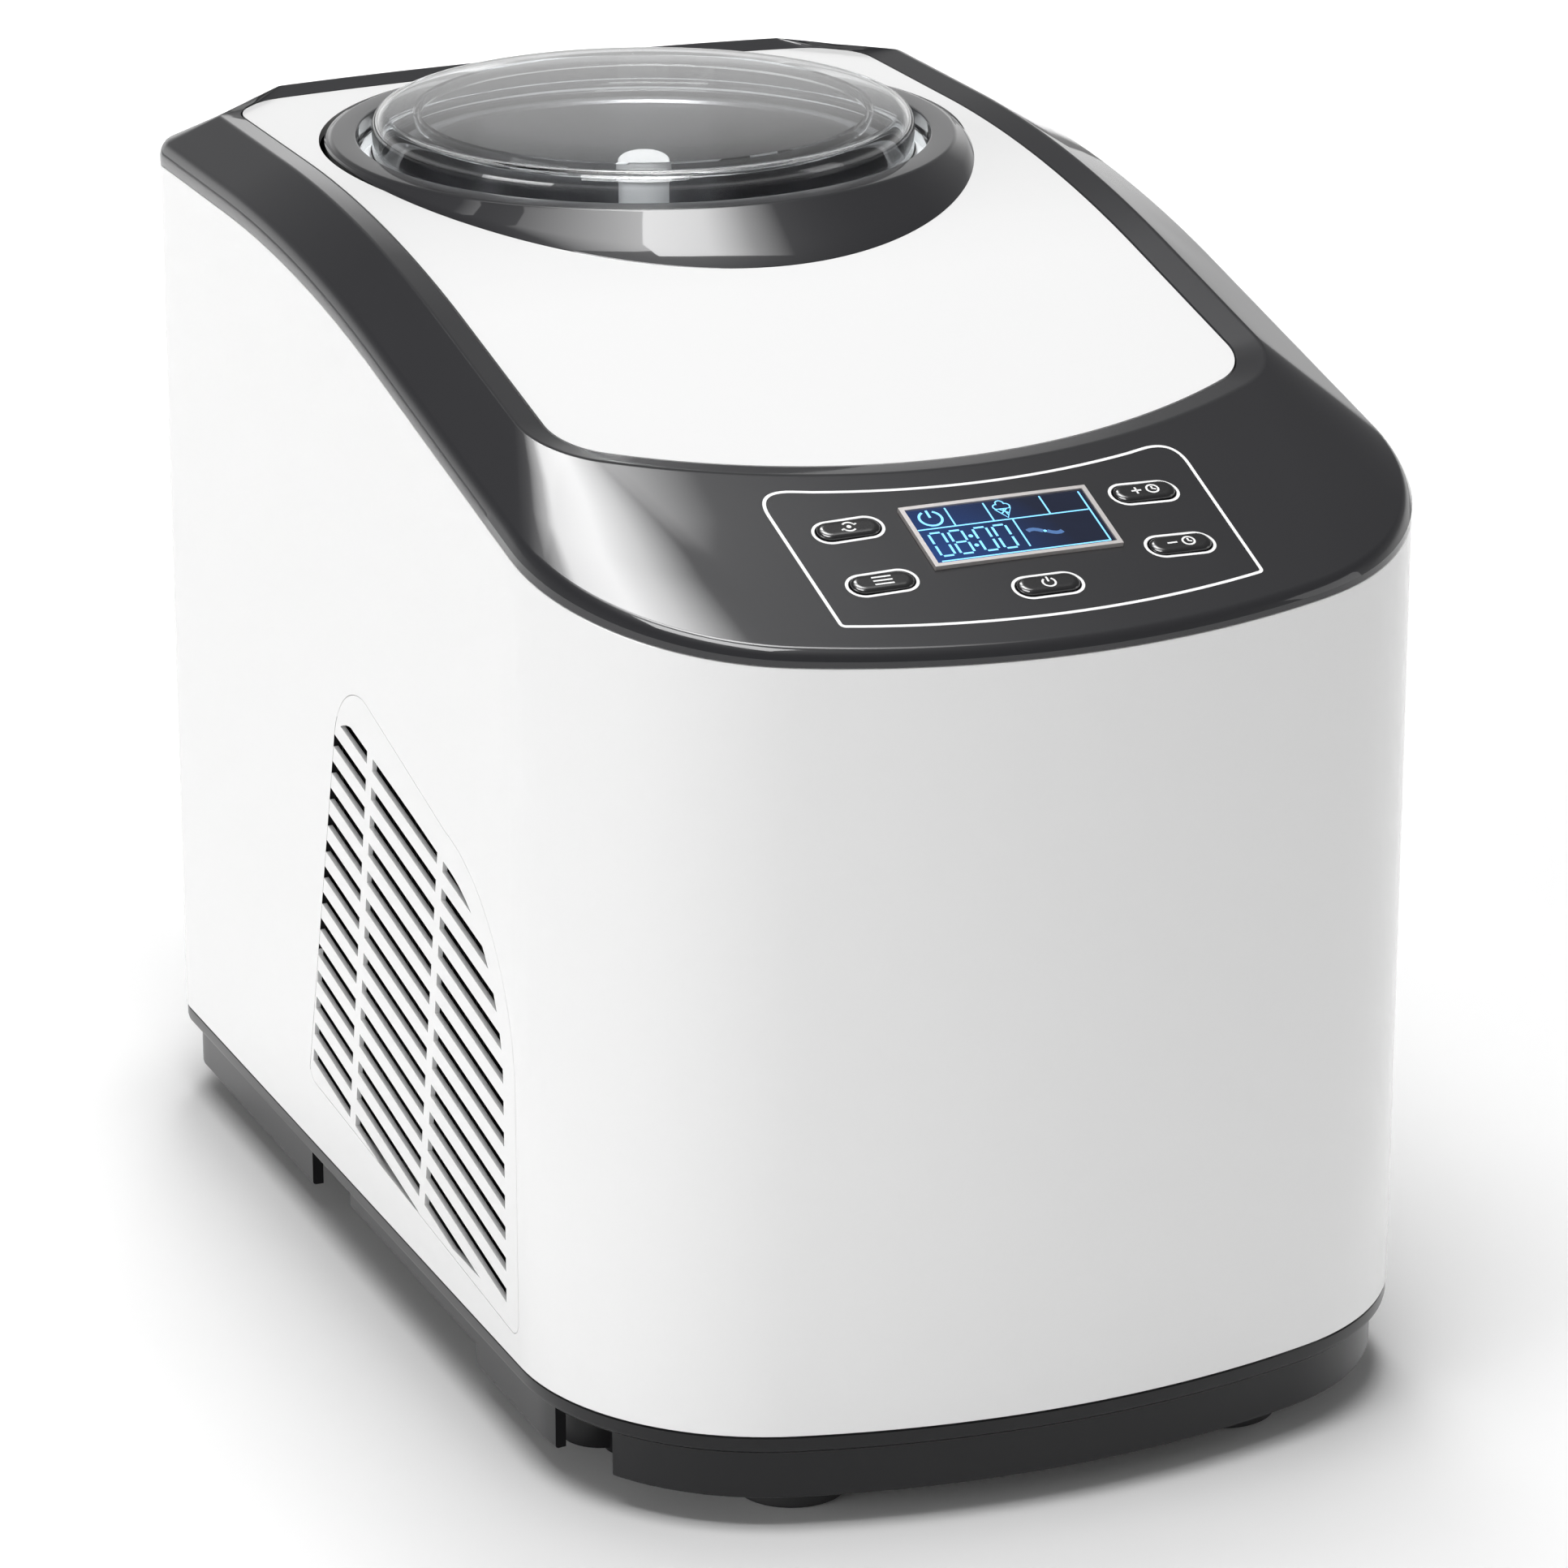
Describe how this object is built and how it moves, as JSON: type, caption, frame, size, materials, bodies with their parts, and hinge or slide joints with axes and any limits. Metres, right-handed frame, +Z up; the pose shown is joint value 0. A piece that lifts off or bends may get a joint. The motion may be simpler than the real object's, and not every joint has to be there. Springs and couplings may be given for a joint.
{
  "type": "ice cream maker",
  "caption": "Countertop ice cream maker: white shell, dark sloped control panel, clear lift-off lid over a cooled bowl with a driven paddle.",
  "frame": {"origin": "centre of the machine's footprint, on the surface it stands on", "axes": "+Z up, the control panel faces -Y, +X across the machine"},
  "size_m": [0.225, 0.372, 0.281],
  "materials": {
    "white_gloss": "polished white",
    "charcoal_gloss": "polished charcoal",
    "base_dark": "satin black",
    "rubber": "matte",
    "screw_steel": "zinc plated",
    "cover_white": "fine texture",
    "silver_frame": "silver paint",
    "screen": "dark tinted window",
    "lcd": "module case",
    "button_black": "gloss",
    "pcb_green": "solder mask",
    "switch_metal": "stamped",
    "clear_lid": "clear moulded plastic",
    "clear_seal": "silicone",
    "bowl_metal": "satin drawn",
    "paddle_clear": "frosted",
    "cap_white": "gloss",
    "shaft_steel": "ground",
    "gear_nylon": "natural nylon",
    "brass": "machined",
    "gearbox_grey": "glass-filled",
    "motor_steel": "satin",
    "bronze": "sintered",
    "chamber_metal": "satin",
    "copper": "drawn copper",
    "foam": "rigid foam",
    "compressor_black": "baked enamel",
    "fin_metal": "mill",
    "fan_dark": "moulded"
  },
  "bodies": {
    "housing": {"base_tray": "base_dark", "rubber_feet": "rubber", "foot_screws": "screw_steel", "body_shell": "white_gloss", "left_vent_grille": "white_gloss", "right_vent_grille": "white_gloss", "rear_cover": "cover_white", "cord_gland": "base_dark", "cover_screws": "screw_steel", "top_band": "charcoal_gloss", "top_panel": "white_gloss", "collar": "charcoal_gloss", "display_bezel": "silver_frame", "display_window": "screen", "display_module": "lcd", "control_board": "pcb_green", "tact_switches": "switch_metal", "gearbox_base": "gearbox_grey", "gearbox_cover": "gearbox_grey", "stir_motor": "motor_steel", "shaft_bearing": "bronze", "shaft_seal": "rubber", "cooling_chamber": "chamber_metal", "evaporator_coil": "copper", "insulation": "foam", "compressor": "compressor_black", "compressor_mounts": "rubber", "condenser": "fin_metal", "fan_shroud": "fan_dark", "fan_motor": "motor_steel", "filter_drier": "copper", "discharge_tube": "copper", "suction_tube": "copper", "capillary_tube": "copper", "liquid_tube": "copper", "power_board": "pcb_green"},
    "lid": {"lid": "clear_lid", "lid_seal": "clear_seal"},
    "bowl": {"mixing_bowl": "bowl_metal"},
    "mixer": {"paddle": "paddle_clear", "hub_cap": "cap_white"},
    "drive": {"drive_shaft": "shaft_steel", "drive_gear": "gear_nylon"},
    "pinion": {"motor_pinion": "brass"},
    "fan": {"fan_rotor": "fan_dark"},
    "stir_button": {"button_stir": "button_black"},
    "mode_button": {"button_mode": "button_black"},
    "time_up_button": {"button_time_up": "button_black"},
    "time_down_button": {"button_time_down": "button_black"},
    "power_button": {"button_power": "button_black"}
  },
  "joints": [
    {"name": "bowl_lift", "type": "slide", "parent": "housing", "child": "bowl", "axis": [0, 0, 1], "range_m": [0, 0.145]},
    {"name": "lid_lift", "type": "slide", "parent": "bowl", "child": "lid", "axis": [0, 0, 1], "range_m": [0, 0.08]},
    {"name": "paddle_spin", "type": "hinge", "parent": "bowl", "child": "mixer", "pos_m": [0, 0.0835, 0.2], "axis": [0, 0, 1], "continuous": true},
    {"name": "drive_spin", "type": "hinge", "parent": "housing", "child": "drive", "pos_m": [0, 0.0835, 0.1], "axis": [0, 0, 1], "continuous": true},
    {"name": "pinion_spin", "type": "hinge", "parent": "housing", "child": "pinion", "pos_m": [0, 0.1285, 0.1], "axis": [0, 0, 1], "continuous": true},
    {"name": "fan_spin", "type": "hinge", "parent": "housing", "child": "fan", "pos_m": [-0.08, -0.03, 0.092], "axis": [1, 0, 0], "continuous": true},
    {"name": "stir_press", "type": "slide", "parent": "housing", "child": "stir_button", "axis": [0, 0.3397, -0.9405], "range_m": [0, 0.0009], "stiffness_N_per_m": 400},
    {"name": "mode_press", "type": "slide", "parent": "housing", "child": "mode_button", "axis": [0, 0.3397, -0.9405], "range_m": [0, 0.0009], "stiffness_N_per_m": 400},
    {"name": "time_up_press", "type": "slide", "parent": "housing", "child": "time_up_button", "axis": [0, 0.3397, -0.9405], "range_m": [0, 0.0009], "stiffness_N_per_m": 400},
    {"name": "time_down_press", "type": "slide", "parent": "housing", "child": "time_down_button", "axis": [0, 0.3397, -0.9405], "range_m": [0, 0.0009], "stiffness_N_per_m": 400},
    {"name": "power_press", "type": "slide", "parent": "housing", "child": "power_button", "axis": [0, 0.3397, -0.9405], "range_m": [0, 0.0009], "stiffness_N_per_m": 400}
  ],
  "couplings": [
    {"joint": "paddle_spin", "follows": "drive_spin", "ratio": 1},
    {"joint": "pinion_spin", "follows": "drive_spin", "ratio": -5}
  ]
}
